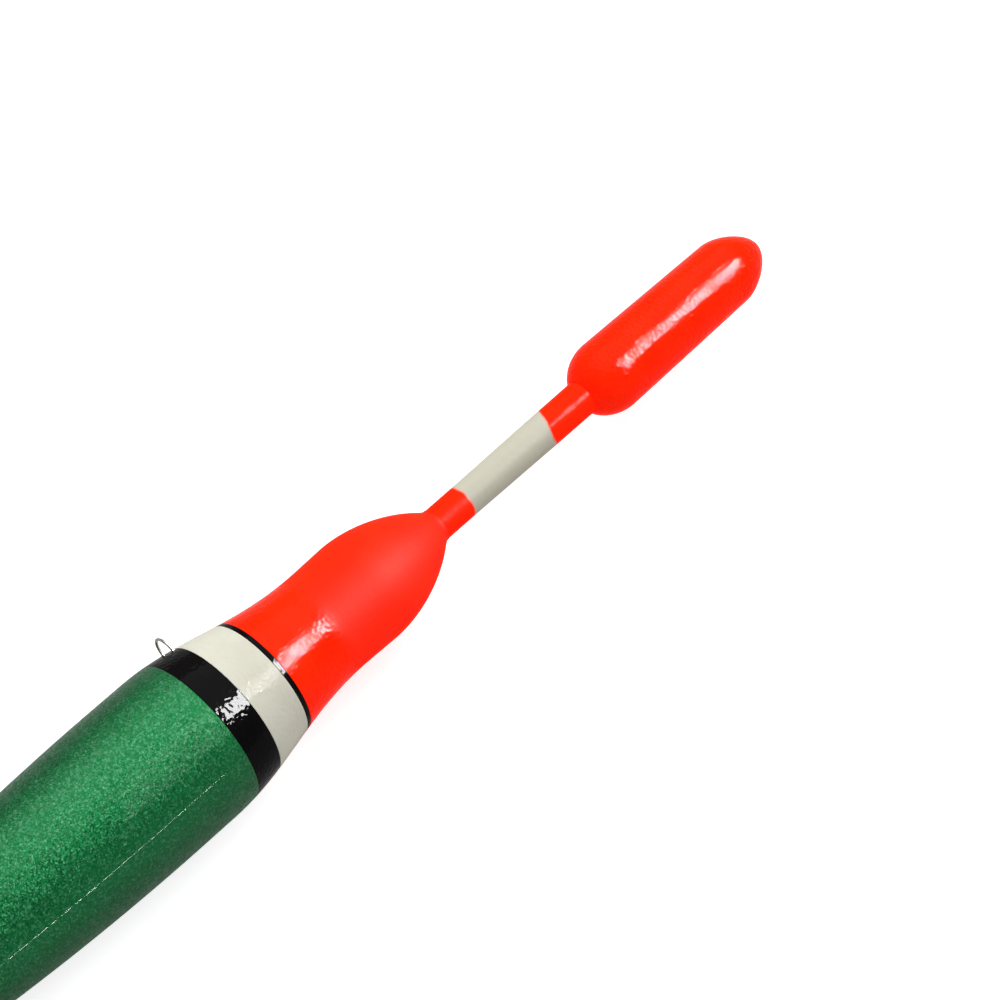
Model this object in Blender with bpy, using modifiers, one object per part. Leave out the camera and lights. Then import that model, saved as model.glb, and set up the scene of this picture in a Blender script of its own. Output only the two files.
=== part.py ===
"""A fishing float that lies on its side: a turned body on a thin antenna, with a keel and line sleeves.

Every piece is modelled upright along Z, from the end of the keel at zero to the sight tip, and hangs
from one empty that lays the whole float along +X. Lengths are metres.
"""

import math

import bmesh
import bpy
import numpy as np
from mathutils import Matrix, Vector

MM = 0.001

# Sight tip, the fat bulb that the angler watches
TIP_LENGTH = 33.4 * MM
TIP_NOSE_RADIUS = 4.68 * MM
TIP_HEEL_RADIUS = 5.0 * MM
TIP_NOSE_LENGTH = 6.5 * MM
TIP_HEEL_LENGTH = 5.7 * MM
TIP_SOCKET_DEPTH = 14.0 * MM
TIP_NOSE_BLUNTNESS = 0.47
TIP_NOSE_SIDE_REACH = 0.37

# Antenna, the thin rod that carries the tip and ties the body's pieces together
ANTENNA_EXPOSED = 27.0 * MM
ANTENNA_TOP_RADIUS = 2.4 * MM
ANTENNA_RADIUS = 2.25 * MM
ANTENNA_SOCKET_DEPTH = 22.0 * MM

# Body pieces, from the shoulder cap down to the long main body
CAP_LENGTH = 29.4 * MM
CAP_PEAK_DROP = 13.1 * MM
CAP_PEAK_RADIUS = 7.15 * MM
CAP_WAIST_DROP = 18.4 * MM
CAP_WAIST_RADIUS = 7.02 * MM
CAP_CROWN_ANGLE = math.radians(40)
CAP_CROWN_REACH = 0.37
CAP_PEAK_REACH = 0.33
FLARE_WAIST_REACH = 0.42
FLARE_BELLY_REACH = 0.36
LINE_LENGTH = 0.7 * MM
COLLAR_LENGTH = 5.7 * MM
BAND_LENGTH = 4.2 * MM
BODY_LENGTH = 80.0 * MM
BELLY_RADIUS = 10.38 * MM
BELLY_DROP = 3.6 * MM
BELLY_LENGTH = 5.0 * MM
FOOT_RADIUS = 3.2 * MM

# Keel, its brass ballast and the silicone sleeves that trap the line
KEEL_EXPOSED = 40.0 * MM
KEEL_RADIUS = 1.5 * MM
KEEL_CHAMFER = 0.3 * MM
KEEL_SOCKET_DEPTH = 28.0 * MM
BALLAST_LENGTH = 7.0 * MM
BALLAST_FOOT_RADIUS = 2.3 * MM
SLEEVE_LENGTH = 6.0 * MM
SLEEVE_WALL = 0.75 * MM
SLEEVE_NAMES = ("lower_sleeve", "middle_sleeve", "upper_sleeve")

# Wire eye that guides the line past the body
WIRE_RADIUS = 0.2 * MM
EYE_RADIUS = 2.2 * MM
EYE_HEIGHT = 2.2 * MM
EYE_SETBACK = 0.55 * MM
EYE_LEG_LENGTH = 4.0 * MM
EYE_LIFT = math.radians(24)

# Fits and edges
GLUE_LINE = 0.02 * MM
GLUE_CLEARANCE = 0.06 * MM
SLEEVE_CLEARANCE = 0.1 * MM
EYE_CLEARANCE = 0.12 * MM
SLEEVE_STOP_GAP = 0.1 * MM
EDGE_ROUND = 0.25 * MM

# Facets
BODY_SIDES = 36
ROD_SIDES = 24
CURVE_STEPS = 8
MERGE = 0.000001

# Stations along the float, from the end of the keel upwards
FOOT_Z = KEEL_EXPOSED
BAND_FOOT_Z = FOOT_Z + BODY_LENGTH
COLLAR_FOOT_Z = BAND_FOOT_Z + BAND_LENGTH
LINE_FOOT_Z = COLLAR_FOOT_Z + COLLAR_LENGTH
CAP_FOOT_Z = LINE_FOOT_Z + LINE_LENGTH
CAP_TOP_Z = CAP_FOOT_Z + CAP_LENGTH
TIP_FOOT_Z = CAP_TOP_Z + ANTENNA_EXPOSED
TIP_TOP_Z = TIP_FOOT_Z + TIP_LENGTH
ANTENNA_FOOT_Z = BAND_FOOT_Z - ANTENNA_SOCKET_DEPTH
WAIST_Z = CAP_TOP_Z - CAP_WAIST_DROP
BELLY_TOP_Z = BAND_FOOT_Z - BELLY_DROP
BELLY_FOOT_Z = BELLY_TOP_Z - BELLY_LENGTH
BALLAST_FOOT_Z = FOOT_Z - BALLAST_LENGTH
EYE_Z = COLLAR_FOOT_Z - EYE_SETBACK

ANTENNA_BORE = ANTENNA_RADIUS + GLUE_CLEARANCE
TIP_BORE = ANTENNA_TOP_RADIUS + GLUE_CLEARANCE
KEEL_BORE = KEEL_RADIUS + GLUE_CLEARANCE
SLEEVE_BORE = KEEL_RADIUS + SLEEVE_CLEARANCE


def collection(name):
    made = bpy.data.collections.new(name)
    bpy.context.scene.collection.children.link(made)
    return made


def material(name, colour, roughness, metallic=0.0):
    made = bpy.data.materials.new(name)
    made.use_nodes = True
    shader = made.node_tree.nodes["Principled BSDF"]
    shader.inputs["Base Color"].default_value = (*colour, 1.0)
    shader.inputs["Roughness"].default_value = roughness
    shader.inputs["Metallic"].default_value = metallic
    return made


def bezier(start, start_handle, end_handle, end, steps=CURVE_STEPS):
    """Points (radius, height) of one cubic curve, both ends included."""
    points = []
    for step in range(steps + 1):
        t = step / steps
        weights = ((1 - t) ** 3, 3 * t * (1 - t) ** 2, 3 * t * t * (1 - t), t**3)
        corners = (start, start_handle, end_handle, end)
        points.append(tuple(sum(w * c[i] for w, c in zip(weights, corners)) for i in (0, 1)))
    return points


def ellipse_arc(centre_z, radius, reach, start_angle, end_angle, steps=CURVE_STEPS):
    """Points of a turned dome: radius across, reach along Z, angles from the radial direction."""
    points = []
    for step in range(steps + 1):
        angle = start_angle + (end_angle - start_angle) * step / steps
        points.append((radius * math.cos(angle), centre_z + reach * math.sin(angle)))
    return points


def between(outline, high, low):
    """The stretch of a falling outline from one height to a lower one, cut exactly at both."""
    heights = [z for _, z in reversed(outline)]
    radii = [r for r, _ in reversed(outline)]
    inner = [p for p in outline if low + GLUE_LINE < p[1] < high - GLUE_LINE]
    top = (float(np.interp(high, heights, radii)), high)
    bottom = (float(np.interp(low, heights, radii)), low)
    return [top, *inner, bottom]


def hang(obj, folder, finish):
    """Puts a piece in its collection, under the empty that lays the float down."""
    folder.objects.link(obj)
    obj.parent = axis
    if finish:
        obj.data.materials.append(finish)
    return obj


def turned(name, outline, finish, sides, closed):
    """A lathe piece. The outline runs down the outside; a closed one comes back up its bore.

    It starts half a facet off the X axis, so that the float lies on a flat.
    """
    mesh = bpy.data.meshes.new(name)
    across, aside = math.cos(math.pi / sides), math.sin(math.pi / sides)
    edges = [(i, i + 1) for i in range(len(outline) - 1)]
    if closed:
        edges.append((len(outline) - 1, 0))
    mesh.from_pydata([(r * across, r * aside, z) for r, z in outline], edges, [])
    obj = hang(bpy.data.objects.new(name, mesh), parts, finish)
    screw = obj.modifiers.new("lathe", "SCREW")
    screw.axis = "Z"
    screw.steps = sides
    screw.render_steps = sides
    screw.use_merge_vertices = True
    screw.merge_threshold = MERGE
    screw.use_smooth_shade = True
    return obj


def bored_ring(name, outside, bore, finish, sides=BODY_SIDES):
    """A ring on the antenna or keel, with a straight bore through it."""
    top, bottom = outside[0][1], outside[-1][1]
    return turned(name, [*outside, (bore, bottom), (bore, top)], finish, sides, closed=True)


def flare_outline():
    """The body's side from the cap's waist out to the belly, shared by the five pieces it crosses."""
    drop = WAIST_Z - BELLY_TOP_Z
    waist, belly = (CAP_WAIST_RADIUS, WAIST_Z), (BELLY_RADIUS, BELLY_TOP_Z)
    waist_handle = (CAP_WAIST_RADIUS, WAIST_Z - FLARE_WAIST_REACH * drop)
    belly_handle = (BELLY_RADIUS, BELLY_TOP_Z + FLARE_BELLY_REACH * drop)
    return bezier(waist, waist_handle, belly_handle, belly, steps=3 * CURVE_STEPS)


def sight_tip():
    nose_z = TIP_TOP_Z - TIP_NOSE_LENGTH
    nose = bezier(
        (0.0, TIP_TOP_Z),
        (TIP_NOSE_BLUNTNESS * TIP_NOSE_RADIUS, TIP_TOP_Z),
        (TIP_NOSE_RADIUS, nose_z + TIP_NOSE_SIDE_REACH * TIP_NOSE_LENGTH),
        (TIP_NOSE_RADIUS, nose_z),
    )
    heel_end = -math.acos(TIP_BORE / TIP_HEEL_RADIUS)
    heel_centre = TIP_FOOT_Z - TIP_HEEL_LENGTH * math.sin(heel_end)
    heel = ellipse_arc(heel_centre, TIP_HEEL_RADIUS, TIP_HEEL_LENGTH, 0.0, heel_end)
    socket_top = TIP_FOOT_Z + TIP_SOCKET_DEPTH + GLUE_LINE
    socket = [(TIP_BORE, socket_top), (0.0, socket_top)]
    return turned("sight_tip", nose + heel + socket, tip_paint, BODY_SIDES, closed=False)


def antenna():
    top = TIP_FOOT_Z + TIP_SOCKET_DEPTH
    outline = [
        (0.0, top),
        (ANTENNA_TOP_RADIUS, top),
        (ANTENNA_TOP_RADIUS, TIP_FOOT_Z),
        (ANTENNA_RADIUS, CAP_TOP_Z),
        (ANTENNA_RADIUS, ANTENNA_FOOT_Z),
        (0.0, ANTENNA_FOOT_Z),
    ]
    return turned("antenna_stem", outline, stem_paint, ROD_SIDES, closed=False)


def shoulder_cap(flare):
    peak_z = CAP_TOP_Z - CAP_PEAK_DROP
    rim = ANTENNA_BORE
    rise = CAP_CROWN_REACH * CAP_PEAK_DROP
    crown = bezier(
        (rim, CAP_TOP_Z),
        (rim + rise * math.sin(CAP_CROWN_ANGLE), CAP_TOP_Z - rise * math.cos(CAP_CROWN_ANGLE)),
        (CAP_PEAK_RADIUS, peak_z + CAP_PEAK_REACH * CAP_PEAK_DROP),
        (CAP_PEAK_RADIUS, peak_z),
    )
    skirt = between(flare, WAIST_Z, CAP_FOOT_Z + GLUE_LINE)
    bore = [(ANTENNA_BORE, CAP_FOOT_Z + GLUE_LINE)]
    return turned("shoulder_cap", crown + skirt + bore, cap_paint, BODY_SIDES, closed=True)


def main_body(flare):
    top = BAND_FOOT_Z
    shoulder = between(flare, top, BELLY_TOP_Z)
    taper = []
    for step in range(2 * CURVE_STEPS + 1):
        t = step / (2 * CURVE_STEPS)
        radius = BELLY_RADIUS - (BELLY_RADIUS - FOOT_RADIUS) * t * t
        taper.append((radius, BELLY_FOOT_Z + (FOOT_Z - BELLY_FOOT_Z) * t))
    keel_seat = FOOT_Z + KEEL_SOCKET_DEPTH + GLUE_LINE
    antenna_seat = ANTENNA_FOOT_Z - GLUE_LINE
    foot = [(KEEL_BORE, FOOT_Z), (KEEL_BORE, keel_seat), (0.0, keel_seat)]
    mouth = [(0.0, antenna_seat), (ANTENNA_BORE, antenna_seat), (ANTENNA_BORE, top)]
    return turned("main_body", mouth + shoulder + taper + foot, body_paint, BODY_SIDES, closed=False)


def ballast_collar():
    top, bottom = FOOT_Z - GLUE_LINE, BALLAST_FOOT_Z
    belly = top - BALLAST_LENGTH / 3
    side = bezier(
        (FOOT_RADIUS, top),
        (FOOT_RADIUS, belly),
        (BALLAST_FOOT_RADIUS, belly),
        (BALLAST_FOOT_RADIUS, bottom + EDGE_ROUND),
    )
    lip = [(BALLAST_FOOT_RADIUS - EDGE_ROUND, bottom)]
    return bored_ring("ballast_collar", side + lip, KEEL_BORE, brass, ROD_SIDES)


def keel():
    top = FOOT_Z + KEEL_SOCKET_DEPTH
    outline = [
        (0.0, top),
        (KEEL_RADIUS, top),
        (KEEL_RADIUS, KEEL_CHAMFER),
        (KEEL_RADIUS - KEEL_CHAMFER, 0.0),
        (0.0, 0.0),
    ]
    return turned("keel_stem", outline, keel_paint, ROD_SIDES, closed=False)


def sleeves():
    """Each sleeve has its own third of the free keel; the top one is pushed up against the ballast."""
    zone = BALLAST_FOOT_Z / len(SLEEVE_NAMES)
    outer = SLEEVE_BORE + SLEEVE_WALL
    for index, name in enumerate(SLEEVE_NAMES):
        foot = zone * index + (zone - SLEEVE_LENGTH) / 2
        if index == len(SLEEVE_NAMES) - 1:
            foot = BALLAST_FOOT_Z - SLEEVE_STOP_GAP - SLEEVE_LENGTH
        top = foot + SLEEVE_LENGTH
        side = [
            (outer - EDGE_ROUND, top),
            (outer, top - EDGE_ROUND),
            (outer, foot + EDGE_ROUND),
            (outer - EDGE_ROUND, foot),
        ]
        bored_ring(name, side, SLEEVE_BORE, silicone, ROD_SIDES)


def eye_frame(flare):
    """Where the eye stands: its arch's centre, the way out of the body and the way across."""
    out = Vector((-math.sin(EYE_LIFT), math.cos(EYE_LIFT), 0.0))
    across = Vector((math.cos(EYE_LIFT), math.sin(EYE_LIFT), 0.0))
    surface = between(flare, EYE_Z, BAND_FOOT_Z)[0][0]
    crown = surface + EYE_HEIGHT - WIRE_RADIUS
    centre = out * (crown - EYE_RADIUS) + Vector((0.0, 0.0, EYE_Z))
    return centre, out, across


def line_eye(flare):
    """A wire bent to a half ring, with two straight legs glued into the band."""
    centre, out, across = eye_frame(flare)
    arch_steps = 2 * CURVE_STEPS
    route = [centre + across * EYE_RADIUS - out * EYE_LEG_LENGTH]
    for step in range(arch_steps + 1):
        angle = math.pi * step / arch_steps
        route.append(centre + EYE_RADIUS * (across * math.cos(angle) + out * math.sin(angle)))
    route.append(centre - across * EYE_RADIUS - out * EYE_LEG_LENGTH)
    curve = bpy.data.curves.new("line_eye", "CURVE")
    curve.dimensions = "3D"
    curve.bevel_depth = WIRE_RADIUS
    curve.bevel_resolution = 2
    curve.use_fill_caps = True
    spline = curve.splines.new("POLY")
    spline.points.add(len(route) - 1)
    for point, place in zip(spline.points, route):
        point.co = (*place, 1.0)
    return hang(bpy.data.objects.new("line_eye", curve), parts, steel)


def drill_eye_holes(band, flare):
    """Two holes in the band, along the eye's legs."""
    centre, out, across = eye_frame(flare)
    depth = EYE_LEG_LENGTH + EYE_CLEARANCE
    run = depth + EYE_RADIUS
    for side, name in ((1, "eye_hole_front"), (-1, "eye_hole_back")):
        mesh = bpy.data.meshes.new(name)
        work = bmesh.new()
        drill = WIRE_RADIUS + EYE_CLEARANCE
        bmesh.ops.create_cone(
            work, cap_ends=True, segments=ROD_SIDES // 2, radius1=drill, radius2=drill, depth=run
        )
        work.to_mesh(mesh)
        work.free()
        cutter = hang(bpy.data.objects.new(name, mesh), cutters, None)
        middle = centre + across * EYE_RADIUS * side + out * (run / 2 - depth)
        cutter.matrix_local = Matrix.Translation(middle) @ out.to_track_quat("Z", "X").to_matrix().to_4x4()
        cutter.hide_render = True
        cutter.display_type = "WIRE"
        cut = band.modifiers.new(name, "BOOLEAN")
        cut.operation = "DIFFERENCE"
        cut.object = cutter


for old in list(bpy.data.objects):
    bpy.data.objects.remove(old, do_unlink=True)

parts = collection("fishing_float")
cutters = collection("cutters")
axis = bpy.data.objects.new("float_axis", None)
axis.rotation_euler = (0.0, math.pi / 2, 0.0)
parts.objects.link(axis)

tip_paint = material("fluorescent_red_tip", (0.95, 0.03, 0.005), 0.3)
stem_paint = material("ivory_stem_paint", (0.72, 0.7, 0.6), 0.45)
cap_paint = material("fluorescent_red_cap", (0.95, 0.03, 0.01), 0.25)
line_paint = material("black_line_paint", (0.01, 0.01, 0.012), 0.2)
collar_paint = material("ivory_band_paint", (0.72, 0.7, 0.6), 0.25)
band_paint = material("black_band_paint", (0.01, 0.01, 0.012), 0.2)
body_paint = material("green_flake_paint", (0.01, 0.2, 0.07), 0.25, 0.5)
brass = material("brass", (0.7, 0.48, 0.16), 0.25, 1.0)
keel_paint = material("black_keel_paint", (0.012, 0.012, 0.014), 0.35)
silicone = material("smoke_silicone", (0.06, 0.07, 0.065), 0.5)
steel = material("spring_steel", (0.5, 0.5, 0.5), 0.25, 1.0)

side = flare_outline()
sight_tip()
antenna()
shoulder_cap(side)
bored_ring("line_ring", between(side, CAP_FOOT_Z, LINE_FOOT_Z + GLUE_LINE), ANTENNA_BORE, line_paint)
bored_ring("pale_collar", between(side, LINE_FOOT_Z, COLLAR_FOOT_Z + GLUE_LINE), ANTENNA_BORE, collar_paint)
black_band = bored_ring(
    "black_band", between(side, COLLAR_FOOT_Z, BAND_FOOT_Z + GLUE_LINE), ANTENNA_BORE, band_paint
)
drill_eye_holes(black_band, side)
main_body(side)
line_eye(side)
ballast_collar()
keel()
sleeves()
bpy.context.view_layer.update()
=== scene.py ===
"""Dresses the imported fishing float: smooth turned pieces, lacquers, wire, silicone, light and camera."""

import math

import bmesh
import bpy
from mathutils import Matrix, Vector


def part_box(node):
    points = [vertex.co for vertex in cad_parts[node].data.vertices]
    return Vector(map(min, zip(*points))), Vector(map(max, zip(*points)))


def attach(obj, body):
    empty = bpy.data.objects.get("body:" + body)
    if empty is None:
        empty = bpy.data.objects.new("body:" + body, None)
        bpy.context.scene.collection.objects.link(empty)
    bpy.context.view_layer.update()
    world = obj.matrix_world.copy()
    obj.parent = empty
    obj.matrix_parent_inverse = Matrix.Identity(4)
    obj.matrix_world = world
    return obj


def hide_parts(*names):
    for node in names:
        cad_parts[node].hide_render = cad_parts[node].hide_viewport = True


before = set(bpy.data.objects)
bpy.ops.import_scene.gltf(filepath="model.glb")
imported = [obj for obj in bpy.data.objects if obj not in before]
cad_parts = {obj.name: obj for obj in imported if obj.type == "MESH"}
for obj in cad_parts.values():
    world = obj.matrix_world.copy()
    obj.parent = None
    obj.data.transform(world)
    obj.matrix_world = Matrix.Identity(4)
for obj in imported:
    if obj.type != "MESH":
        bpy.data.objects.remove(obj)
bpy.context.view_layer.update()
MM = 0.001

# Antenna: a thin glass-fibre rod, painted ivory and dipped in red lacquer at both ends.
# It is glued into the sight tip and runs down through the shoulder and bands into the body.
# The dips left two wavy edges, of which the upper one is slanted.


def feed(tree, slot, value):
    """Links a wire to a socket, or writes a plain value on it."""
    if isinstance(value, Wire):
        tree.links.new(value.socket, slot)
    else:
        slot.default_value = value


def add_node(tree, kind, output=0, settings=None, sockets=None):
    """Adds one shader node, sets it up, feeds its sockets and gives the wire of one output."""
    made = tree.nodes.new("ShaderNode" + kind)
    for name, value in (settings or {}).items():
        setattr(made, name, value)
    for name, value in (sockets or {}).items():
        feed(tree, made.inputs[name], value)
    return Wire(tree, made.outputs[output])


class Wire:
    """One output of a shader node. Sums and products of wires add their Math nodes."""

    def __init__(self, tree, socket):
        self.tree = tree
        self.socket = socket

    def combine(self, operation, first, second):
        return add_node(self.tree, "Math", 0, {"operation": operation}, {0: first, 1: second})

    def __add__(self, other):
        return self.combine("ADD", self, other)

    def __sub__(self, other):
        return self.combine("SUBTRACT", self, other)

    def __rsub__(self, other):
        return self.combine("SUBTRACT", other, self)

    def __mul__(self, other):
        return self.combine("MULTIPLY", self, other)

    def over(self, edge, softness):
        """0 below the edge and 1 above it, with a soft step between."""
        sockets = {"Value": self - edge, "From Min": -softness, "From Max": softness}
        return add_node(self.tree, "MapRange", "Result", {"interpolation_type": "SMOOTHSTEP"}, sockets)

    __radd__ = __add__
    __rmul__ = __mul__


class Finish:
    """A material under one Principled shader, whose constants are named as its sockets are."""

    def __init__(self, name, **constants):
        self.material = bpy.data.materials.new(name)
        self.material.use_nodes = True
        self.tree = self.material.node_tree
        self.shader = self.tree.nodes["Principled BSDF"]
        for key, value in constants.items():
            self.set({key.replace("_", " ").title().replace("Ior", "IOR"): value})

    def set(self, sockets):
        for name, value in sockets.items():
            feed(self.tree, self.shader.inputs[name], value)

    def node(self, kind, output=0, settings=None, sockets=None):
        return add_node(self.tree, kind, output, settings, sockets)

    def place(self):
        return self.node("TexCoord", "Object")

    def along(self):
        return self.node("SeparateXYZ", "X", sockets={"Vector": self.place()})

    def stretched(self, scale):
        return self.node("Mapping", sockets={"Vector": self.place(), "Scale": scale})

    def noise(self, scale, detail=3.0, vector=None):
        sockets = {"Vector": vector or self.place(), "Scale": scale, "Detail": detail}
        return self.node("TexNoise", "Fac", sockets=sockets)

    def blend(self, factor, low, high):
        """A colour between two, by a factor that varies over the surface."""
        # A Mix node takes its two colours on sockets 6 and 7, and gives theirs on output 2.
        sockets = {0: factor, 6: low, 7: high}
        return self.node("Mix", 2, settings={"data_type": "RGBA"}, sockets=sockets)

    def bump(self, height, depth):
        sockets = {"Height": height, "Distance": depth, "Strength": 1.0}
        self.set({"Normal": self.node("Bump", sockets=sockets)})


def rgb(red, green, blue):
    return (red, green, blue, 1.0)


LATHE_RADIUS = 1.0
LATHE_SIDES = 160
ROD_SIDES = 96
WELD_DISTANCE = 0.0005 * MM
SHARP_EDGE = math.radians(50)


def lathe_tree():
    """Geometry nodes that turn an outline (X is the radius, Y the station) about the float's axis."""
    tree = bpy.data.node_groups.new("turn_on_lathe", "GeometryNodeTree")
    face = tree.interface
    face.new_socket("Outline", in_out="INPUT", socket_type="NodeSocketGeometry")
    sides = face.new_socket("Sides", in_out="INPUT", socket_type="NodeSocketInt")
    lacquer = face.new_socket("Lacquer", in_out="INPUT", socket_type="NodeSocketMaterial")
    face.new_socket("Turned", in_out="OUTPUT", socket_type="NodeSocketGeometry")
    add = tree.nodes.new
    link = tree.links.new
    given = add("NodeGroupInput")
    result = add("NodeGroupOutput")
    outline = add("GeometryNodeMeshToCurve")
    circle = add("GeometryNodeCurvePrimitiveCircle")
    circle.inputs["Radius"].default_value = LATHE_RADIUS
    sweep = add("GeometryNodeCurveToMesh")
    weld = add("GeometryNodeMergeByDistance")
    weld.inputs["Distance"].default_value = WELD_DISTANCE
    lay = add("GeometryNodeTransform")
    lay.inputs["Rotation"].default_value = (0.0, -math.pi / 2, 0.0)
    whole = add("GeometryNodeRealizeInstances")
    coat = add("GeometryNodeSetMaterial")
    link(given.outputs["Outline"], outline.inputs["Mesh"])
    link(given.outputs["Sides"], circle.inputs["Resolution"])
    link(circle.outputs["Curve"], sweep.inputs["Curve"])
    link(outline.outputs["Curve"], sweep.inputs["Profile Curve"])
    link(sweep.outputs["Mesh"], weld.inputs["Geometry"])
    link(weld.outputs["Geometry"], lay.inputs["Geometry"])
    link(lay.outputs["Geometry"], whole.inputs["Geometry"])
    link(whole.outputs["Geometry"], coat.inputs["Geometry"])
    link(given.outputs["Lacquer"], coat.inputs["Material"])
    link(coat.outputs["Geometry"], result.inputs["Turned"])
    return tree, sides.identifier, lacquer.identifier


lathe, lathe_sides, lathe_lacquer = lathe_tree()


def shaped_blank(points, edges, tree, inputs):
    """An object of bare points and edges that a geometry tree makes into a piece."""
    mesh = bpy.data.meshes.new("blank")
    mesh.from_pydata(points, edges, [])
    blank = bpy.data.objects.new("blank", mesh)
    bpy.context.scene.collection.objects.link(blank)
    shaping = blank.modifiers.new("shaping", "NODES")
    shaping.node_group = tree
    for identifier, value in inputs.items():
        shaping[identifier] = value
    return blank


def plain_mesh(source, name):
    """Turns an object's evaluated shape into a mesh of its own, faces outwards."""
    seen = source.evaluated_get(bpy.context.evaluated_depsgraph_get())
    mesh = bpy.data.meshes.new_from_object(seen)
    mesh.name = name
    bpy.data.objects.remove(source)
    work = bmesh.new()
    work.from_mesh(mesh)
    bmesh.ops.recalc_face_normals(work, faces=work.faces)
    work.to_mesh(mesh)
    work.free()
    mesh.shade_smooth()
    mesh.set_sharp_from_angle(angle=SHARP_EDGE)
    piece = bpy.data.objects.new(name, mesh)
    bpy.context.scene.collection.objects.link(piece)
    return piece


def fit(piece, node, body):
    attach(piece, body)
    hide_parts(node)
    return piece


def turned(node, body, outline, finish, closed=False, sides=LATHE_SIDES):
    """A piece turned from points (station, radius); it stands for the CAD node of that name."""
    points = [(radius - LATHE_RADIUS, station, 0.0) for station, radius in outline]
    edges = [(i, i + 1) for i in range(len(points) - 1)]
    if closed:
        edges.append((len(points) - 1, 0))
    blank = shaped_blank(points, edges, lathe, {lathe_sides: sides, lathe_lacquer: finish.material})
    return fit(plain_mesh(blank, "smooth_" + node), node, body)


def curve(start, start_handle, end_handle, end, steps=40):
    """Points of one cubic curve, both ends included."""
    corners = (start, start_handle, end_handle, end)
    points = []
    for step in range(steps + 1):
        t = step / steps
        weights = ((1 - t) ** 3, 3 * t * (1 - t) ** 2, 3 * t * t * (1 - t), t**3)
        points.append(tuple(sum(w * c[i] for w, c in zip(weights, corners)) for i in (0, 1)))
    return points


def span(node):
    """Where a piece starts and ends along the float, and its widest radius."""
    low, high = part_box(node)
    radius = max(math.hypot(v.co.y, v.co.z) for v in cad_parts[node].data.vertices)
    return low.x, high.x, radius


tip_foot, tip_top, tip_radius = span("sight_tip")
cap_foot, cap_top, _ = span("shoulder_cap")
stem_foot, stem_top, stem_radius = span("antenna_stem")
STEM_LOW_RADIUS = 2.25 * MM
STEM_TAPER_START = 8.0 * MM
STEM_TAPER_EASE = 0.03 * MM
STEM_TAPER_STOP = 7.0 * MM
STEM_TAPER_REST = 0.01 * MM
IVORY_TOP = tip_top - 39.8 * MM
IVORY_FOOT = tip_top - 55.2 * MM
DIP_SOFTNESS = 0.24 * MM
DIP_WANDER = 0.8 * MM
DIP_WANDER_SCALE = 420.0
DIP_SLANT = (0.0, 0.37, -0.22)
DIP_STEP = 1.6
DIP_SMOOTHING = 0.2
ROD_ROUGHNESS = 0.4
ROD_SPECULAR = 0.007
ROD_GRAIN = 0.03 * MM
ROD_GRAIN_SCALE = 1500.0
IVORY_STREAK_SCALE = 300.0
IVORY_STREAK_STRETCH = (0.15, 1, 1)
RED_CLOUD_SCALE = 260.0
# The red lacquer is fluorescent paint, but its glow here is a painted glow. It is a steady emission that
# keeps its shaded side as bright as its lit side.
PAINTED_GLOW_STRENGTH = 0.5
FLUORESCENT_RED = rgb(0.95, 0.034, 0.005)
FLUORESCENT_DEEP = rgb(0.92, 0.02, 0.002)
PAINTED_RED_GLOW = rgb(1.0, 0.004, 0.0)
NO_GLOW = rgb(0.0, 0.0, 0.0)
IVORY = rgb(0.76, 0.73, 0.6)
IVORY_GREY = rgb(0.66, 0.64, 0.52)


def dipped_rod():
    rod = Finish("dipped_ivory_rod", specular_ior_level=ROD_SPECULAR, emission_strength=PAINTED_GLOW_STRENGTH)
    x = rod.along()
    wander = (rod.noise(DIP_WANDER_SCALE, detail=2.0) - 0.5) * DIP_WANDER
    slant = rod.node("VectorMath", "Value", {"operation": "DOT_PRODUCT"}, {0: rod.place(), 1: DIP_SLANT})
    top_edge = (x - slant + wander).over(IVORY_TOP, DIP_SOFTNESS)
    foot_edge = (x + wander).over(IVORY_FOOT, DIP_SOFTNESS)
    ivory = foot_edge * (1 - top_edge)
    streaks = rod.noise(IVORY_STREAK_SCALE, detail=4.0, vector=rod.stretched(IVORY_STREAK_STRETCH))
    cream = rod.blend(streaks, IVORY_GREY, IVORY)
    red = rod.blend(rod.noise(RED_CLOUD_SCALE), FLUORESCENT_DEEP, FLUORESCENT_RED)
    rod.set({"Base Color": rod.blend(ivory, red, cream)})
    # The red dips carry the painted glow, a steady emission; the ivory has none.
    rod.set({"Emission Color": rod.blend(ivory, PAINTED_RED_GLOW, NO_GLOW)})
    rod.set({"Roughness": ROD_ROUGHNESS - top_edge * DIP_SMOOTHING})
    rod.bump(rod.noise(ROD_GRAIN_SCALE, detail=0.0) + (1 - ivory) * DIP_STEP, ROD_GRAIN)
    return rod


turned(
    "antenna_stem",
    "float",
    [
        (stem_top, 0.0),
        (stem_top, stem_radius),
        (tip_foot, stem_radius),
        (tip_foot - STEM_TAPER_START, stem_radius - STEM_TAPER_EASE),
        (cap_top + STEM_TAPER_STOP, STEM_LOW_RADIUS + STEM_TAPER_REST),
        (cap_top, STEM_LOW_RADIUS),
        (stem_foot, STEM_LOW_RADIUS),
        (stem_foot, 0.0),
    ],
    dipped_rod(),
    sides=ROD_SIDES,
)

# Main body: balsa turned to a long teardrop, bored at both ends for the antenna and the keel.
# It is sprayed with green lacquer full of metal flake and dipped in a clear gloss coat.
# The spray is a little cloudy, each flake lies at a slant of its own, and a few flakes carry painted
# glints.

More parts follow.
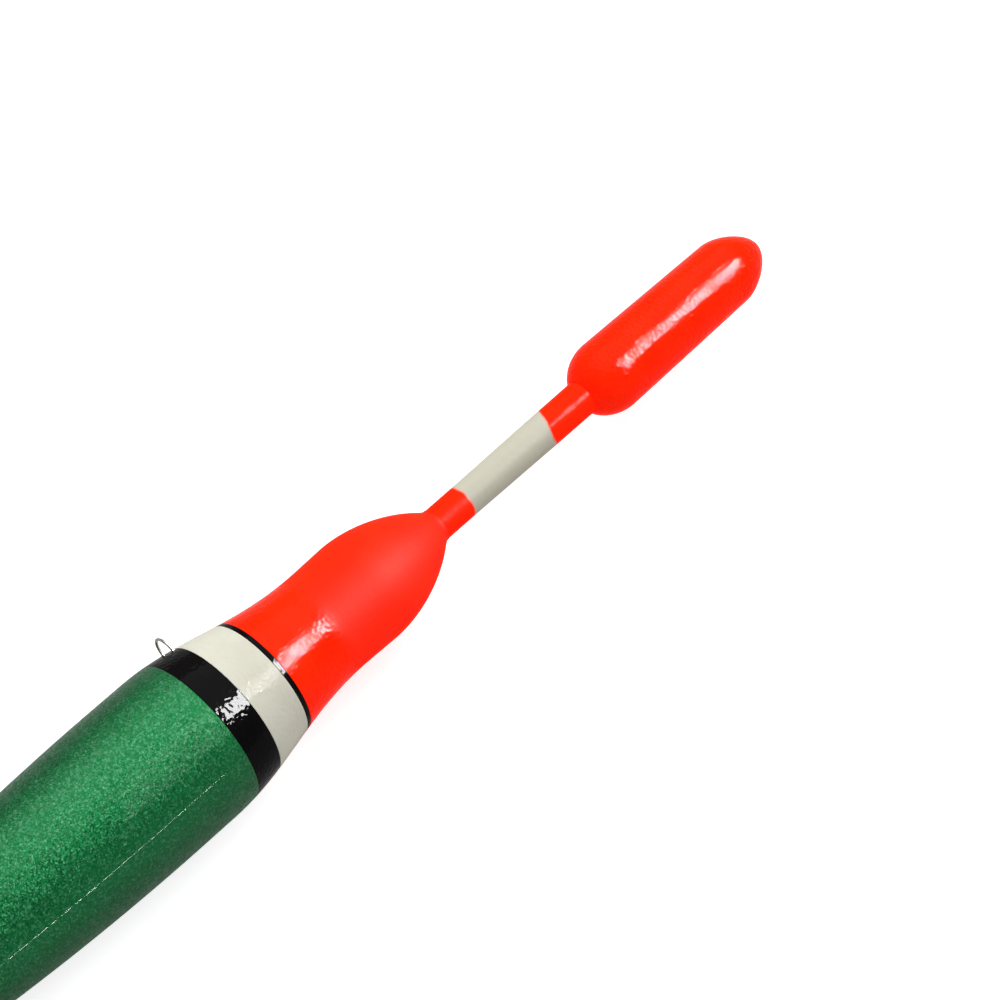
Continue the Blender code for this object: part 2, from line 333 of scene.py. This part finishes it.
body_foot, body_top, belly_radius = span("main_body")
BELLY_DROP = 3.6 * MM
BELLY_LENGTH = 5.0 * MM
FOOT_RADIUS = 3.2 * MM
WAIST_DROP = 18.4 * MM
WAIST_RADIUS = 7.02 * MM
WAIST_PULL = 0.42
BELLY_PULL = 0.36
FLARE_STEPS = 160
TAPER_STEPS = 120
GLUE_GAP = 0.06 * MM
STEM_BORE = STEM_LOW_RADIUS + GLUE_GAP
KEEL_BORE = 1.56 * MM
KEEL_SEAT = 28.02 * MM
PAINT_ROUND = 0.05 * MM
PAINT_STEPS = 4
GREEN = rgb(0.003, 0.112, 0.031)
GREEN_DEEP = rgb(0.0006, 0.066, 0.015)
# The paler green of the painted glints on some flakes.
GREEN_PAINTED_GLINT = rgb(0.1, 0.3, 0.17)
FLAKE_SCALE = 6500.0
LARGE_FLAKE_SCALE = 4200.0
FLAKE_LEAN = 0.36
FLAKE_SHADE = 0.4
PAINTED_GLINT_SHARE = 0.2
SPRAY_CLOUD_SCALE = 160.0
SPRAY_SHADE = 0.6
SPRAY_ROUGHNESS = 0.46
SPRAY_ROUGHNESS_CHANGE = 0.12
COAT_THIN = 0.08
COAT_GAIN = 0.4
COAT_GRAIN_SCALE = 2400.0
belly_top = body_top - BELLY_DROP
belly_foot = belly_top - BELLY_LENGTH
waist = cap_top - WAIST_DROP
flare_drop = waist - belly_top

# The side of the float from the shoulder's waist to the belly, which five pieces share.
side = curve(
    (waist, WAIST_RADIUS),
    (waist - WAIST_PULL * flare_drop, WAIST_RADIUS),
    (belly_top + BELLY_PULL * flare_drop, belly_radius),
    (belly_top, belly_radius),
    steps=FLARE_STEPS,
)


def radius_at(station):
    for (high, above), (low, below) in zip(side, side[1:]):
        if low <= station <= high:
            return below + (above - below) * (station - low) / (high - low)
    return belly_radius if station < belly_top else WAIST_RADIUS


def rounded_edge(at, inward, size, steps, radius_of):
    """Points over a rounded edge, from the end face at a station on to the side."""
    points = []
    for step in range(steps + 1):
        angle = math.pi / 2 * step / steps
        station = at + inward * size * (1 - math.cos(angle))
        points.append((station, radius_of(station) - size * (1 - math.sin(angle))))
    return points


def side_between(high, low, round_high=True, round_low=True):
    """The float's side between two seams, with the edge of each lacquer coat rounded over."""
    ends = []
    for rounded, at, inward in ((round_high, high, -1), (round_low, low, 1)):
        if rounded:
            ends.append(rounded_edge(at, inward, PAINT_ROUND, PAINT_STEPS, radius_at))
        else:
            ends.append([(at, radius_at(at))])
    middle = [p for p in side if low + PAINT_ROUND < p[0] < high - PAINT_ROUND]
    return ends[0] + middle + ends[1][::-1]


def green_flake():
    lacquer = Finish(
        "green_flake_lacquer",
        coat_roughness=0.04,
        coat_ior=1.25,
        specular_ior_level=0.2,
        metallic=0.8,
    )
    place = lacquer.place()
    cells = {"feature": "F1", "distance": "EUCLIDEAN"}
    flake = lacquer.node("TexVoronoi", "Color", cells, {"Vector": place, "Scale": FLAKE_SCALE})
    large = lacquer.node("TexVoronoi", "Color", cells, {"Vector": place, "Scale": LARGE_FLAKE_SCALE})
    spark = lacquer.node("SeparateColor", "Red", sockets={"Color": flake})
    big_spark = lacquer.node("SeparateColor", "Green", sockets={"Color": large})
    cloud = lacquer.noise(SPRAY_CLOUD_SCALE, detail=4.0)
    shade = lacquer.blend(spark * FLAKE_SHADE + cloud * SPRAY_SHADE, GREEN_DEEP, GREEN)
    # Some flakes are paler in the base colour itself. These are painted glints that stand in for flakes
    # catching the light.
    large_painted_glint = big_spark.over(edge=0.8, softness=0.2) * PAINTED_GLINT_SHARE
    painted_glint = large_painted_glint + spark.over(edge=0.9, softness=0.1) * PAINTED_GLINT_SHARE
    lacquer.set({"Base Color": lacquer.blend(painted_glint, shade, GREEN_PAINTED_GLINT)})
    lacquer.set({"Roughness": SPRAY_ROUGHNESS + cloud * SPRAY_ROUGHNESS_CHANGE})
    coat_grain = lacquer.noise(COAT_GRAIN_SCALE, detail=0.0).over(edge=0.52, softness=0.15)
    lacquer.set({"Coat Weight": COAT_THIN + coat_grain * COAT_GAIN})
    centred = {0: flake, 1: (0.5, 0.5, 0.5)}
    tilt = lacquer.node("VectorMath", 0, {"operation": "SUBTRACT"}, centred)
    lean = lacquer.node("VectorMath", 0, {"operation": "SCALE"}, {0: tilt, "Scale": FLAKE_LEAN})
    smooth = lacquer.node("NewGeometry", "Normal")
    tipped = lacquer.node("VectorMath", 0, {"operation": "ADD"}, {0: smooth, 1: lean})
    lacquer.set({"Normal": lacquer.node("VectorMath", 0, {"operation": "NORMALIZE"}, {0: tipped})})
    return lacquer


taper = []
for step in range(1, TAPER_STEPS + 1):
    t = step / TAPER_STEPS
    station = belly_foot + (body_foot - belly_foot) * t
    taper.append((station, belly_radius - (belly_radius - FOOT_RADIUS) * t * t))
green_body = turned(
    "main_body",
    "float",
    [(stem_foot, 0.0), (stem_foot, STEM_BORE), (body_top, STEM_BORE)]
    + side_between(body_top, belly_top, round_low=False)
    + [(belly_foot, belly_radius)]
    + taper
    + [(body_foot, KEEL_BORE), (body_foot + KEEL_SEAT, KEEL_BORE), (body_foot + KEEL_SEAT, 0.0)],
    green_flake(),
)

# Bands and shoulder: short balsa rings and a long red cap, glued on the antenna one after another.
# They are lacquered black, ivory, black and red, and the coats meet at rounded edges.
# The cap narrows to a waist above the bands, and its round shoulder is satin and not glossy.

BLACK = rgb(0.004, 0.004, 0.005)
BLACK_WORN = rgb(0.008, 0.007, 0.007)
BAND_IVORY = rgb(0.86, 0.85, 0.73)
BAND_STAIN = rgb(0.76, 0.74, 0.61)
BLACK_ROUGHNESS = 0.05
IVORY_ROUGHNESS = 0.06
RED_ROUGHNESS = 0.03
BLACK_SPECULAR = 0.024
IVORY_SPECULAR = 0.004
RED_SPECULAR = 0.021
BAND_PEEL = 0.05 * MM
SHOULDER_PEEL = 0.085 * MM
TONE_CLOUD_SCALE = 150.0
HAZE_SCALE = 900.0
HAZE = 0.04
PEEL_SCALE = 380.0
PEEL_SHARE = 0.4
PEEL_GRAIN_SCALE = 2000.0
GLOSS_SHORTFALL = 2.6 * MM
GLOSS_FADE = 1.8 * MM
SATIN_ROUGHNESS = 0.54
SATIN_CALM = 0.8
CROWN_ANGLE = math.radians(40)
CROWN_PULL = 0.37
CROWN_STEPS = 80
CAP_PEAK_DROP = 13.1 * MM
CAP_PEAK_RADIUS = 7.15 * MM
CAP_PEAK_PULL = 0.33
CAP_NECK_LENGTH = 0.45 * MM
CAP_NECK_PULL = 0.2
FILLET_END = 5
FILLET_PULL = 4
FILLET_STEPS = 16


def gloss(name, dark, light, roughness, orange_peel, satin_above=None, **constants):
    """A dipped lacquer: two close tones in soft clouds, over a faint orange peel."""
    lacquer = Finish(name, **constants)
    cloud = lacquer.noise(TONE_CLOUD_SCALE, detail=5.0).over(edge=0.5, softness=0.35)
    lacquer.set({"Base Color": lacquer.blend(cloud, dark, light)})
    haze = roughness + lacquer.noise(HAZE_SCALE, detail=2.0) * HAZE
    peel = lacquer.noise(PEEL_SCALE, detail=0.0) * PEEL_SHARE
    peel = peel + lacquer.noise(PEEL_GRAIN_SCALE, detail=0.0)
    if satin_above is not None:
        satin = lacquer.along().over(satin_above, GLOSS_FADE)
        haze = haze + satin * SATIN_ROUGHNESS
        peel = peel * (1 - satin * SATIN_CALM)
    lacquer.set({"Roughness": haze})
    lacquer.bump(peel, orange_peel)
    return lacquer


def red_lacquer(name, orange_peel, satin_above=None):
    # The red lacquer carries the painted glow, a steady emission that brightens its shaded side.
    return gloss(
        name,
        FLUORESCENT_DEEP,
        FLUORESCENT_RED,
        RED_ROUGHNESS,
        orange_peel,
        satin_above,
        emission_color=PAINTED_RED_GLOW,
        emission_strength=PAINTED_GLOW_STRENGTH,
        specular_ior_level=RED_SPECULAR,
    )


def ring(node, finish):
    foot, top, _ = span(node)
    outline = side_between(top, foot) + [(foot, STEM_BORE), (top, STEM_BORE)]
    return turned(node, "float", outline, finish, closed=True)


black_gloss = gloss(
    "black_gloss_lacquer",
    BLACK,
    BLACK_WORN,
    BLACK_ROUGHNESS,
    BAND_PEEL,
    specular_ior_level=BLACK_SPECULAR,
)
ivory_gloss = gloss(
    "ivory_gloss_lacquer",
    BAND_STAIN,
    BAND_IVORY,
    IVORY_ROUGHNESS,
    BAND_PEEL,
    specular_ior_level=IVORY_SPECULAR,
)
dark_band = ring("black_band", black_gloss)
ring("pale_collar", ivory_gloss)
ring("line_ring", black_gloss)

peak = cap_top - CAP_PEAK_DROP
rise = CROWN_PULL * CAP_PEAK_DROP
crown = curve(
    (cap_top, STEM_BORE),
    (cap_top - rise * math.cos(CROWN_ANGLE), STEM_BORE + rise * math.sin(CROWN_ANGLE)),
    (peak + CAP_PEAK_PULL * CAP_PEAK_DROP, CAP_PEAK_RADIUS),
    (peak, CAP_PEAK_RADIUS),
    steps=CROWN_STEPS,
)
meeting = crown[FILLET_END]
before = crown[FILLET_END - 1]
fillet = curve(
    (cap_top + CAP_NECK_LENGTH, STEM_BORE),
    (cap_top + CAP_NECK_PULL * CAP_NECK_LENGTH, STEM_BORE),
    tuple(meeting[i] - FILLET_PULL * (meeting[i] - before[i]) for i in (0, 1)),
    meeting,
    steps=FILLET_STEPS,
)
turned(
    "shoulder_cap",
    "float",
    fillet
    + crown[FILLET_END + 1 :]
    + side_between(waist, cap_foot, round_high=False)
    + [(cap_foot, STEM_BORE)],
    red_lacquer("red_shoulder_lacquer", SHOULDER_PEEL, waist - GLOSS_SHORTFALL),
    closed=True,
)

# Sight tip: a foam bulb on the end of the antenna, dipped in the same fluorescent red.
# Its nose is a blunt point, and its sides widen towards the round heel.
# The socket in the heel takes the antenna.

TIP_NOSE_LENGTH = 6.5 * MM
TIP_NOSE_RADIUS = 4.68 * MM
TIP_NOSE_BLUNTNESS = 0.47
TIP_NOSE_PULL = 0.37
TIP_HEEL_LENGTH = 5.7 * MM
TIP_HEEL_STEPS = 40
TIP_BORE = stem_radius + GLUE_GAP
TIP_SEAT_GAP = 0.02 * MM
TIP_PEEL = 0.1 * MM
nose_foot = tip_top - TIP_NOSE_LENGTH
nose = curve(
    (tip_top, 0.0),
    (tip_top, TIP_NOSE_BLUNTNESS * TIP_NOSE_RADIUS),
    (nose_foot + TIP_NOSE_PULL * TIP_NOSE_LENGTH, TIP_NOSE_RADIUS),
    (nose_foot, TIP_NOSE_RADIUS),
)
heel_end = math.acos(TIP_BORE / tip_radius)
heel_middle = tip_foot + TIP_HEEL_LENGTH * math.sin(heel_end)
heel = []
for step in range(TIP_HEEL_STEPS + 1):
    angle = heel_end * step / TIP_HEEL_STEPS
    heel.append((heel_middle - TIP_HEEL_LENGTH * math.sin(angle), tip_radius * math.cos(angle)))
tip_seat = stem_top + TIP_SEAT_GAP
turned(
    "sight_tip",
    "float",
    nose + heel + [(tip_seat, TIP_BORE), (tip_seat, 0.0)],
    red_lacquer("red_tip_lacquer", TIP_PEEL),
)

# Line eye: a bit of spring-steel wire bent to a half ring, its legs glued in the black band.
# The line runs through it along the body's side.

WIRE_RADIUS = 0.2 * MM
WIRE_SIDES = 20
EYE_RADIUS = 2.2 * MM
EYE_HEIGHT = 2.2 * MM
EYE_LEG_LENGTH = 4.0 * MM
EYE_LIFT = math.radians(24)
EYE_STEPS = 48
STEEL = rgb(0.62, 0.6, 0.57)
STEEL_DULL = rgb(0.34, 0.32, 0.3)
TARNISH_SCALE = 900.0
DRAW_MARK_SCALE = 2500.0
DRAW_MARKS = 0.004 * MM


def mottle(finish, pattern, edge, softness, low, high, roughness, change):
    """Two tones that follow one pattern, with a roughness that follows it too."""
    finish.set({"Base Color": finish.blend(pattern.over(edge, softness), low, high)})
    finish.set({"Roughness": roughness + pattern * change})


def wire_tree():
    """Geometry nodes that draw a round wire along a path."""
    tree = bpy.data.node_groups.new("drawn_wire", "GeometryNodeTree")
    face = tree.interface
    face.new_socket("Path", in_out="INPUT", socket_type="NodeSocketGeometry")
    gauge = face.new_socket("Gauge", in_out="INPUT", socket_type="NodeSocketFloat")
    metal = face.new_socket("Metal", in_out="INPUT", socket_type="NodeSocketMaterial")
    face.new_socket("Drawn", in_out="OUTPUT", socket_type="NodeSocketGeometry")
    add = tree.nodes.new
    link = tree.links.new
    given = add("NodeGroupInput")
    result = add("NodeGroupOutput")
    path = add("GeometryNodeMeshToCurve")
    die = add("GeometryNodeCurvePrimitiveCircle")
    die.inputs["Resolution"].default_value = WIRE_SIDES
    sweep = add("GeometryNodeCurveToMesh")
    sweep.inputs["Fill Caps"].default_value = True
    whole = add("GeometryNodeRealizeInstances")
    coat = add("GeometryNodeSetMaterial")
    link(given.outputs["Path"], path.inputs["Mesh"])
    link(given.outputs["Gauge"], die.inputs["Radius"])
    link(path.outputs["Curve"], sweep.inputs["Curve"])
    link(die.outputs["Curve"], sweep.inputs["Profile Curve"])
    link(sweep.outputs["Mesh"], whole.inputs["Geometry"])
    link(whole.outputs["Geometry"], coat.inputs["Geometry"])
    link(given.outputs["Metal"], coat.inputs["Material"])
    link(coat.outputs["Geometry"], result.inputs["Drawn"])
    return tree, gauge.identifier, metal.identifier


eye_low, eye_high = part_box("line_eye")
eye_station = (eye_low.x + eye_high.x) / 2
eye_out = Vector((0.0, math.cos(EYE_LIFT), math.sin(EYE_LIFT)))
eye_across = Vector((0.0, math.sin(EYE_LIFT), -math.cos(EYE_LIFT)))
eye_crown = radius_at(eye_station) + EYE_HEIGHT - WIRE_RADIUS
eye_centre = Vector((eye_station, 0.0, 0.0)) + eye_out * (eye_crown - EYE_RADIUS)
route = [eye_centre + eye_across * EYE_RADIUS - eye_out * EYE_LEG_LENGTH]
for step in range(EYE_STEPS + 1):
    angle = math.pi * step / EYE_STEPS
    route.append(eye_centre + EYE_RADIUS * (eye_across * math.cos(angle) + eye_out * math.sin(angle)))
route.append(eye_centre - eye_across * EYE_RADIUS - eye_out * EYE_LEG_LENGTH)

spring_steel = Finish("spring_steel", metallic=1.0)
mottle(
    spring_steel,
    spring_steel.noise(TARNISH_SCALE, detail=4.0),
    edge=0.52,
    softness=0.2,
    low=STEEL_DULL,
    high=STEEL,
    roughness=0.2,
    change=0.2,
)
spring_steel.bump(spring_steel.noise(DRAW_MARK_SCALE, detail=2.0), DRAW_MARKS)

wire, wire_gauge, wire_metal = wire_tree()
route_edges = [(i, i + 1) for i in range(len(route) - 1)]
wire_inputs = {wire_gauge: WIRE_RADIUS, wire_metal: spring_steel.material}
eye_blank = shaped_blank(route, route_edges, wire, wire_inputs)
fit(plain_mesh(eye_blank, "smooth_line_eye"), "line_eye", "float")

# Keel: a thin black rod glued into the foot of the body, with a brass collar against the foot.
# The brass is turned and a little tarnished; the rod is satin, with its fibres' grain along it.

KEEL_BLACK = rgb(0.008, 0.008, 0.009)
KEEL_GREY = rgb(0.03, 0.03, 0.032)
KEEL_CHAMFER = 0.3 * MM
KEEL_SIDES = 64
CHAMFER_KNEE = (0.1, 0.7)
FIBRE_SCALE = 2600.0
FIBRE_STRETCH = (0.02, 1, 1)
FIBRE_GRAIN = 0.01 * MM
BRASS = rgb(0.76, 0.5, 0.18)
BRASS_BROWN = rgb(0.42, 0.24, 0.08)
BALLAST_FOOT_RADIUS = 2.3 * MM
BALLAST_BEND = 1 / 3
BALLAST_LIP = 0.25 * MM
LIP_KNEE = 0.3
TOOL_MARK_SCALE = 9000.0
TOOL_MARK_STRETCH = (1, 0.04, 0.04)
TOOL_MARKS = 0.008 * MM
PATINA_SCALE = 700.0
keel_foot, keel_top, keel_radius = span("keel_stem")
ballast_foot, ballast_top, ballast_radius = span("ballast_collar")

fibre_rod = Finish("black_fibre_rod", specular_ior_level=0.5)
fibres = fibre_rod.noise(FIBRE_SCALE, detail=4.0, vector=fibre_rod.stretched(FIBRE_STRETCH))
mottle(
    fibre_rod,
    fibres,
    edge=0.56,
    softness=0.2,
    low=KEEL_BLACK,
    high=KEEL_GREY,
    roughness=0.28,
    change=0.2,
)
fibre_rod.bump(fibres, FIBRE_GRAIN)
turned(
    "keel_stem",
    "float",
    [
        (keel_top, 0.0),
        (keel_top, keel_radius),
        (keel_foot + KEEL_CHAMFER, keel_radius),
        (keel_foot + CHAMFER_KNEE[0] * KEEL_CHAMFER, keel_radius - CHAMFER_KNEE[1] * KEEL_CHAMFER),
        (keel_foot, keel_radius - KEEL_CHAMFER),
        (keel_foot, 0.0),
    ],
    fibre_rod,
    sides=KEEL_SIDES,
)

turned_brass = Finish("turned_brass", metallic=1.0)
mottle(
    turned_brass,
    turned_brass.noise(PATINA_SCALE, detail=5.0),
    edge=0.6,
    softness=0.25,
    low=BRASS,
    high=BRASS_BROWN,
    roughness=0.16,
    change=0.18,
)
around = turned_brass.stretched(TOOL_MARK_STRETCH)
turned_brass.bump(turned_brass.noise(TOOL_MARK_SCALE, detail=2.0, vector=around), TOOL_MARKS)
bend = ballast_top - (ballast_top - ballast_foot) * BALLAST_BEND
turned(
    "ballast_collar",
    "float",
    curve(
        (ballast_top, ballast_radius),
        (bend, ballast_radius),
        (bend, BALLAST_FOOT_RADIUS),
        (ballast_foot + BALLAST_LIP, BALLAST_FOOT_RADIUS),
    )
    + [
        (ballast_foot + LIP_KNEE * BALLAST_LIP, BALLAST_FOOT_RADIUS - LIP_KNEE * BALLAST_LIP),
        (ballast_foot, BALLAST_FOOT_RADIUS - BALLAST_LIP),
        (ballast_foot, KEEL_BORE),
        (ballast_top, KEEL_BORE),
    ],
    turned_brass,
    closed=True,
    sides=ROD_SIDES,
)

# Sleeves: three cut lengths of smoke-grey silicone tube, pushed on the keel over the line.
# They grip by their stretch, so each can be slid along, and their cut ends are a little round.

SILICONE = rgb(0.05, 0.06, 0.055)
SILICONE_DUST = rgb(0.13, 0.14, 0.13)
SLEEVE_BORE = 1.6 * MM
SLEEVE_ROUND = 0.25 * MM
SLEEVE_ROUND_STEPS = 6
SLEEVE_SIDES = 64
DUST_SCALE = 800.0
SLEEVE_GRAIN_SCALE = 1500.0
SLEEVE_GRAIN = 0.015 * MM

silicone = Finish("smoke_silicone", specular_ior_level=0.45)
mottle(
    silicone,
    silicone.noise(DUST_SCALE, detail=6.0),
    edge=0.6,
    softness=0.2,
    low=SILICONE,
    high=SILICONE_DUST,
    roughness=0.35,
    change=0.25,
)
silicone.bump(silicone.noise(SLEEVE_GRAIN_SCALE), SLEEVE_GRAIN)


def sleeve(node, body):
    foot, top, outer = span(node)
    top_edge, foot_edge = (
        rounded_edge(at, inward, SLEEVE_ROUND, SLEEVE_ROUND_STEPS, lambda station: outer)
        for at, inward in ((top, -1), (foot, 1))
    )
    tube = top_edge + foot_edge[::-1] + [(foot, SLEEVE_BORE), (top, SLEEVE_BORE)]
    return turned(node, body, tube, silicone, closed=True, sides=SLEEVE_SIDES)


sleeve("lower_sleeve", "lower_tube")
sleeve("middle_sleeve", "middle_tube")
sleeve("upper_sleeve", "upper_tube")

# Studio: a white sweep that curves up at its rim, under a soft overhead light and a weak fill.
# A small panel draws the bright streaks on the red, ivory and black lacquers.
# Two lamps raise the sheen of the green flake, and a thin strip draws the line of light along it.

SWEEP_RADIUS = 1.8
SWEEP_RISE = 0.25
SWEEP_FLAT_SHARE = 0.5
SWEEP_RIM_STEPS = 24
SWEEP_SIDES = 96
SWEEP_CENTRE = 0.1
FLOOR_GAP = 0.05 * MM
FLOOR_DROP = belly_radius + FLOOR_GAP
FLOOR_WHITE = rgb(0.6, 0.6, 0.6)
FLOOR_GREY = rgb(0.58, 0.58, 0.58)
FLOOR_GRAIN_SCALE = 30.0
FLOOR_GRAIN = 0.1
FLOOR_LIFT = 0.8
GLOSS_LIFT = 0.1


def white_sweep():
    floor = Finish("white_sweep", roughness=0.9, specular_ior_level=0.1, emission_strength=1.0)
    grain = floor.noise(FLOOR_GRAIN_SCALE)
    floor.set({"Base Color": floor.blend(grain * FLOOR_GRAIN, FLOOR_WHITE, FLOOR_GREY)})
    seen_directly = floor.node("LightPath", "Is Camera Ray")
    seen_in_gloss = floor.node("LightPath", "Is Glossy Ray")
    seen_through = floor.node("LightPath", "Is Transmission Ray")
    lift = seen_directly * FLOOR_LIFT + (seen_in_gloss + seen_through) * GLOSS_LIFT
    floor.set({"Emission Color": floor.node("CombineColor", 0, None, {0: lift, 1: lift, 2: lift})})
    return floor


def sweep_sheet():
    """One flat disc with rings of faces around it, which rise to the rim along a quarter circle."""
    levels = [(SWEEP_FLAT_SHARE * SWEEP_RADIUS, 0.0)]
    for step in range(SWEEP_RIM_STEPS + 1):
        angle = math.pi / 2 * step / SWEEP_RIM_STEPS
        levels.append((SWEEP_RADIUS + SWEEP_RISE * math.sin(angle), SWEEP_RISE * (1 - math.cos(angle))))
    sheet = bmesh.new()
    rings = []
    for radius, height in levels:
        around = []
        for turn in range(SWEEP_SIDES):
            angle = 2 * math.pi * turn / SWEEP_SIDES
            x = radius * math.cos(angle) + SWEEP_CENTRE
            around.append(sheet.verts.new((x, radius * math.sin(angle), height - FLOOR_DROP)))
        rings.append(around)
    sheet.faces.new(rings[0])
    for inner, outer in zip(rings, rings[1:]):
        for turn in range(SWEEP_SIDES):
            after = (turn + 1) % SWEEP_SIDES
            sheet.faces.new((inner[turn], outer[turn], outer[after], inner[after]))
    mesh = bpy.data.meshes.new("studio_sweep")
    sheet.to_mesh(mesh)
    sheet.free()
    mesh.shade_smooth()
    return mesh


sweep_mesh = sweep_sheet()
sweep_mesh.materials.append(white_sweep().material)
studio_sweep = bpy.data.objects.new("studio_sweep", sweep_mesh)
bpy.context.scene.collection.objects.link(studio_sweep)

ROOM_DARK = 0.32
ROOM_BRIGHT = 1.5
ROOM_BRIGHT_WAY = Vector((-0.1, 0.45, 0.89)).normalized()
ROOM_DARK_EDGE = 0.1
room = bpy.data.worlds.new("studio")
room.use_nodes = True
walls = room.node_tree
facing = add_node(
    walls,
    "VectorMath",
    "Value",
    {"operation": "DOT_PRODUCT"},
    {0: add_node(walls, "TexCoord", "Generated"), 1: ROOM_BRIGHT_WAY},
)
brightness = add_node(
    walls,
    "MapRange",
    "Result",
    {"interpolation_type": "SMOOTHSTEP"},
    {"Value": facing, "From Min": ROOM_DARK_EDGE, "To Min": ROOM_DARK, "To Max": ROOM_BRIGHT},
)
feed(walls, walls.nodes["Background"].inputs["Strength"], brightness)
bpy.context.scene.world = room

FLOAT_WAY = Vector((1.0, 0.0, 0.0))


def lamp(name, place, target, width, height, watts):
    """A rectangular lamp aimed at a point, its width laid along the float."""
    light = bpy.data.lights.new(name, "AREA")
    light.shape = "RECTANGLE"
    light.size = width
    light.size_y = height
    light.energy = watts
    piece = bpy.data.objects.new(name, light)
    back = (place - target).normalized()
    across = (FLOAT_WAY - back * back.dot(FLOAT_WAY)).normalized()
    axes = Matrix((across, back.cross(across), back)).transposed().to_4x4()
    piece.matrix_world = Matrix.Translation(place) @ axes
    bpy.context.scene.collection.objects.link(piece)
    return piece


def level(share, reach):
    """Watts that light a facing surface to a share of its own colour from the end of a reach."""
    return share * math.pi**2 * reach.length**2


def group(name, *pieces):
    collection = bpy.data.collections.new(name)
    for piece in pieces:
        collection.objects.link(piece)
    return collection


def only_in_gloss(light, receivers):
    """Keeps a lamp to the highlights of a group of pieces."""
    light.visible_diffuse = False
    light.light_linking.receiver_collection = receivers


MIDDLE = Vector((0.13, 0.0, 0.0))
OVERHEAD_REACH = Vector((0.3, 0.25, 0.92))
OVERHEAD_SIZE = 1.4
OVERHEAD_LEVEL = 1.5
FILL_REACH = Vector((0.0, -0.6, 0.3))
FILL_SIZE = 0.6
FILL_LEVEL = 0.15
PANEL_WAY = Vector((0.54, -0.41, 0.735)).normalized()
PANEL_REACH = PANEL_WAY * 0.5
PANEL_WIDTH = 0.2
PANEL_HEIGHT = 0.18
PANEL_LEVEL = 18.0
BULB = Vector((tip_top - 18.0 * MM, 0.0, 0.0))
FLAKE_REACH = PANEL_WAY * 0.6
FLAKE_SIZE = 0.5
FLAKE_LEVEL = 1.1
FLANK_REACH = Vector((0.2, 0.38, 0.56))
FLANK_SIZE = 1.0
FLANK_LEVEL = 1.3
STRIP_PLACE = Vector((0.14, -0.6, 0.002))
STRIP_TARGET = Vector((0.1, 0.0, 0.0))
STRIP_WIDTH = 0.3
STRIP_HEIGHT = 0.004
STRIP_WATTS = 0.8

overhead_watts = level(OVERHEAD_LEVEL, OVERHEAD_REACH)
lamp("overhead_softbox", MIDDLE + OVERHEAD_REACH, MIDDLE, OVERHEAD_SIZE, OVERHEAD_SIZE, overhead_watts)

fill = lamp("fill", MIDDLE + FILL_REACH, MIDDLE, FILL_SIZE, FILL_SIZE, level(FILL_LEVEL, FILL_REACH))
fill.visible_glossy = False

panel_watts = level(PANEL_LEVEL, PANEL_REACH)
panel = lamp("lamp_panel", BULB + PANEL_REACH, BULB, PANEL_WIDTH, PANEL_HEIGHT, panel_watts)
all_but_green = group("kept_from_the_panel", green_body)
all_but_green.collection_objects[0].light_linking.link_state = "EXCLUDE"
only_in_gloss(panel, all_but_green)

green_only = group("lit_by_the_flake_lamps", green_body)
for name, reach, size, share in (
    ("flake_lamp", FLAKE_REACH, FLAKE_SIZE, FLAKE_LEVEL),
    ("flank_lamp", FLANK_REACH, FLANK_SIZE, FLANK_LEVEL),
):
    flake_lamp = lamp(name, MIDDLE + reach, MIDDLE, size, size, level(share, reach))
    only_in_gloss(flake_lamp, green_only)

strip = lamp("thin_strip", STRIP_PLACE, STRIP_TARGET, STRIP_WIDTH, STRIP_HEIGHT, STRIP_WATTS)
only_in_gloss(strip, group("lit_by_the_strip", green_body, dark_band))

# Camera: a long lens, high on the keel's side, with the tip away from it.
# Its frame ends in the upper half of the body.

CAMERA_PLACE = Vector((0.00639, -0.1581, 0.3494))
CAMERA_WAY = Vector((0.39072, 0.37318, -0.84147))
CAMERA_LENS = 120.0
CAMERA_SENSOR = 36.0
CAMERA_NEAREST = 0.01
camera = bpy.data.cameras.new("camera")
camera.lens = CAMERA_LENS
camera.sensor_width = CAMERA_SENSOR
camera.clip_start = CAMERA_NEAREST
viewer = bpy.data.objects.new("camera", camera)
facing_float = CAMERA_WAY.to_track_quat("-Z", "Y").to_matrix().to_4x4()
viewer.matrix_world = Matrix.Translation(CAMERA_PLACE) @ facing_float
bpy.context.scene.collection.objects.link(viewer)
bpy.context.scene.camera = viewer
bpy.context.scene.view_settings.view_transform = "Standard"
